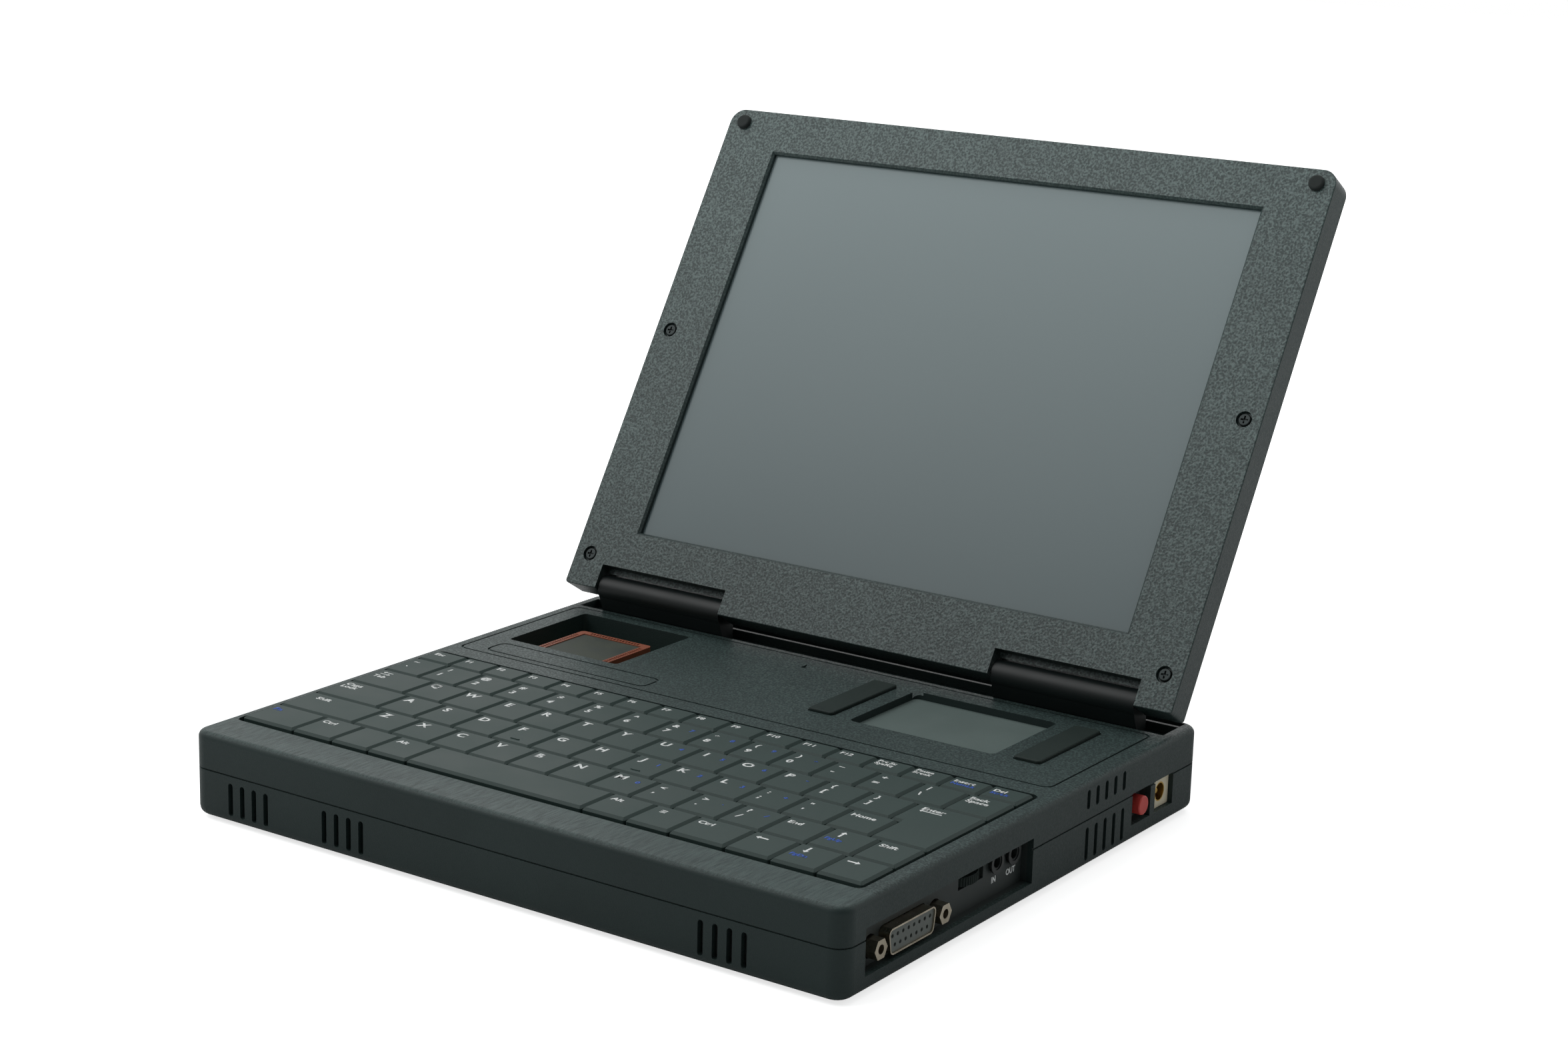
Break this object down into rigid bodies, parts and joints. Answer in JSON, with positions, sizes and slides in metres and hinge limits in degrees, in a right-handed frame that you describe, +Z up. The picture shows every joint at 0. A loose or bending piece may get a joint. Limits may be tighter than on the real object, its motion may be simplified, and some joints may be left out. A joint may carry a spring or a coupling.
{
  "type": "mini laptop computer",
  "caption": "Small thick laptop with a tilted screen lid on two barrel hinges, a full keyboard, an open chip bay, a touchpad with side buttons and a port panel.",
  "frame": {"origin": "On the surface that the laptop stands on, under the middle of its case.", "axes": "+Z up, +X to the right as the user sees it, +Y to the back, where the hinges are."},
  "size_m": [0.2448, 0.2921, 0.1991],
  "materials": {
    "case_plastic": "satin, fine grain",
    "port_plastic": "satin",
    "key_plastic": "satin",
    "button_plastic": "satin",
    "rubber": "matte",
    "steel": "satin",
    "plated_steel": "satin",
    "circuit_board": "satin",
    "socket_plastic": "satin",
    "contact_metal": "satin",
    "chip_ceramic": "matte",
    "touchpad_surface": "matte",
    "connector_plastic": "satin",
    "jack_plastic": "satin",
    "red_plastic": "satin",
    "cream_plastic": "satin",
    "battery_wrap": "satin",
    "aluminium": "satin",
    "display_panel": "low gloss"
  },
  "bodies": {
    "case": {"bottom_case": "case_plastic", "top_case": "case_plastic", "left_hinge_cover": "case_plastic", "right_hinge_cover": "case_plastic", "port_panel": "port_plastic", "power_switch": "port_plastic", "rubber_feet": "rubber", "case_screws": "steel", "keyboard_tray": "steel", "left_hinge_bracket": "steel", "right_hinge_bracket": "steel", "game_port_shell": "plated_steel", "game_port_standoffs": "plated_steel", "main_board": "circuit_board", "processor_board": "circuit_board", "audio_board": "circuit_board", "touch_board": "circuit_board", "chip_socket": "socket_plastic", "chip_contacts": "contact_metal", "supply_contacts": "contact_metal", "chip": "chip_ceramic", "touchpad": "touchpad_surface", "game_port_insert": "connector_plastic", "audio_jacks": "jack_plastic", "wheel_potentiometer": "jack_plastic", "speakers": "jack_plastic", "supply_jack": "cream_plastic", "battery_pack": "battery_wrap", "heat_sink": "aluminium", "storage_drive": "aluminium"},
    "lid": {"lid_bezel": "case_plastic", "lid_back_cover": "case_plastic", "display_glass": "display_panel", "display_frame": "aluminium", "inverter_board": "circuit_board", "lid_bumpers": "rubber", "lid_screws": "steel", "left_hinge_arm": "steel", "right_hinge_arm": "steel"},
    "key_esc": {"key_esc": "key_plastic"},
    "key_tab": {"key_tab": "key_plastic"},
    "key_caps_lock": {"key_caps_lock": "key_plastic"},
    "key_enter": {"key_enter": "key_plastic"},
    "key_left_shift": {"key_left_shift": "key_plastic"},
    "key_right_shift": {"key_right_shift": "key_plastic"},
    "key_space": {"key_space": "key_plastic"},
    "key_up": {"key_up": "key_plastic"},
    "key_left": {"key_left": "key_plastic"},
    "key_down": {"key_down": "key_plastic"},
    "key_right": {"key_right": "key_plastic"},
    "function_row_keys": {"function_row_keys": "key_plastic"},
    "number_row_keys": {"number_row_keys": "key_plastic"},
    "upper_letter_keys": {"upper_letter_keys": "key_plastic"},
    "middle_letter_keys": {"middle_letter_keys": "key_plastic"},
    "lower_letter_keys": {"lower_letter_keys": "key_plastic"},
    "bottom_row_keys": {"bottom_row_keys": "key_plastic"},
    "left_click_button": {"left_click_button": "button_plastic"},
    "right_click_button": {"right_click_button": "button_plastic"},
    "power_button": {"power_button": "red_plastic"},
    "volume_wheel": {"volume_wheel": "button_plastic"}
  },
  "joints": [
    {"name": "lid_hinge", "type": "hinge", "parent": "case", "child": "lid", "pos_m": [0, 0.0874, 0.0363], "axis": [-1, 0, 0], "range_deg": [-121.3, 13.7]},
    {"name": "key_esc_press", "type": "slide", "parent": "case", "child": "key_esc", "axis": [0, 0, -1], "range_m": [0, 0.002], "stiffness_N_per_m": 300, "springref_m": -0.001},
    {"name": "key_tab_press", "type": "slide", "parent": "case", "child": "key_tab", "axis": [0, 0, -1], "range_m": [0, 0.002], "stiffness_N_per_m": 300, "springref_m": -0.001},
    {"name": "key_caps_lock_press", "type": "slide", "parent": "case", "child": "key_caps_lock", "axis": [0, 0, -1], "range_m": [0, 0.002], "stiffness_N_per_m": 300, "springref_m": -0.001},
    {"name": "key_enter_press", "type": "slide", "parent": "case", "child": "key_enter", "axis": [0, 0, -1], "range_m": [0, 0.002], "stiffness_N_per_m": 300, "springref_m": -0.001},
    {"name": "key_left_shift_press", "type": "slide", "parent": "case", "child": "key_left_shift", "axis": [0, 0, -1], "range_m": [0, 0.002], "stiffness_N_per_m": 300, "springref_m": -0.001},
    {"name": "key_right_shift_press", "type": "slide", "parent": "case", "child": "key_right_shift", "axis": [0, 0, -1], "range_m": [0, 0.002], "stiffness_N_per_m": 300, "springref_m": -0.001},
    {"name": "key_space_press", "type": "slide", "parent": "case", "child": "key_space", "axis": [0, 0, -1], "range_m": [0, 0.002], "stiffness_N_per_m": 300, "springref_m": -0.001},
    {"name": "key_up_press", "type": "slide", "parent": "case", "child": "key_up", "axis": [0, 0, -1], "range_m": [0, 0.002], "stiffness_N_per_m": 300, "springref_m": -0.001},
    {"name": "key_left_press", "type": "slide", "parent": "case", "child": "key_left", "axis": [0, 0, -1], "range_m": [0, 0.002], "stiffness_N_per_m": 300, "springref_m": -0.001},
    {"name": "key_down_press", "type": "slide", "parent": "case", "child": "key_down", "axis": [0, 0, -1], "range_m": [0, 0.002], "stiffness_N_per_m": 300, "springref_m": -0.001},
    {"name": "key_right_press", "type": "slide", "parent": "case", "child": "key_right", "axis": [0, 0, -1], "range_m": [0, 0.002], "stiffness_N_per_m": 300, "springref_m": -0.001},
    {"name": "function_row_press", "type": "slide", "parent": "case", "child": "function_row_keys", "axis": [0, 0, -1], "range_m": [0, 0.002], "stiffness_N_per_m": 300, "springref_m": -0.001},
    {"name": "number_row_press", "type": "slide", "parent": "case", "child": "number_row_keys", "axis": [0, 0, -1], "range_m": [0, 0.002], "stiffness_N_per_m": 300, "springref_m": -0.001},
    {"name": "upper_letter_press", "type": "slide", "parent": "case", "child": "upper_letter_keys", "axis": [0, 0, -1], "range_m": [0, 0.002], "stiffness_N_per_m": 300, "springref_m": -0.001},
    {"name": "middle_letter_press", "type": "slide", "parent": "case", "child": "middle_letter_keys", "axis": [0, 0, -1], "range_m": [0, 0.002], "stiffness_N_per_m": 300, "springref_m": -0.001},
    {"name": "lower_letter_press", "type": "slide", "parent": "case", "child": "lower_letter_keys", "axis": [0, 0, -1], "range_m": [0, 0.002], "stiffness_N_per_m": 300, "springref_m": -0.001},
    {"name": "bottom_row_press", "type": "slide", "parent": "case", "child": "bottom_row_keys", "axis": [0, 0, -1], "range_m": [0, 0.002], "stiffness_N_per_m": 300, "springref_m": -0.001},
    {"name": "left_click_button_press", "type": "slide", "parent": "case", "child": "left_click_button", "axis": [0, 0, -1], "range_m": [0, 0.0008], "stiffness_N_per_m": 1200, "springref_m": -0.0004},
    {"name": "right_click_button_press", "type": "slide", "parent": "case", "child": "right_click_button", "axis": [0, 0, -1], "range_m": [0, 0.0008], "stiffness_N_per_m": 1200, "springref_m": -0.0004},
    {"name": "power_button_press", "type": "slide", "parent": "case", "child": "power_button", "axis": [-1, 0, 0], "range_m": [0, 0.002], "stiffness_N_per_m": 500, "springref_m": -0.001},
    {"name": "volume_wheel_turn", "type": "hinge", "parent": "case", "child": "volume_wheel", "pos_m": [0.1099, -0.0313, 0.0153], "axis": [0, 0, 1], "range_deg": [-135, 135]}
  ]
}
